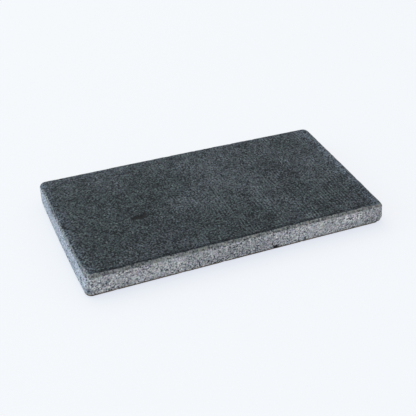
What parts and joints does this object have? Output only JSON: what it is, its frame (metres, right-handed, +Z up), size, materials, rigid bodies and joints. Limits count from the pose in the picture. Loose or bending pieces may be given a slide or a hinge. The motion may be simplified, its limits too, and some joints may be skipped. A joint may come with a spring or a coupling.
{
  "type": "massage stone",
  "caption": "Flat rectangular massage stone cut from solid basalt, with honed broad faces, rounded corners and hand-worn rims.",
  "frame": {"origin": "on the resting face, under the middle of the stone", "axes": "+X along the stone, +Y across it, +Z up from the resting face through the thickness"},
  "size_m": [0.2, 0.103, 0.016],
  "materials": {
    "basalt": "honed broad faces, rougher sawn sides"
  },
  "bodies": {
    "root": {"basalt_slab": "basalt"}
  },
  "joints": []
}
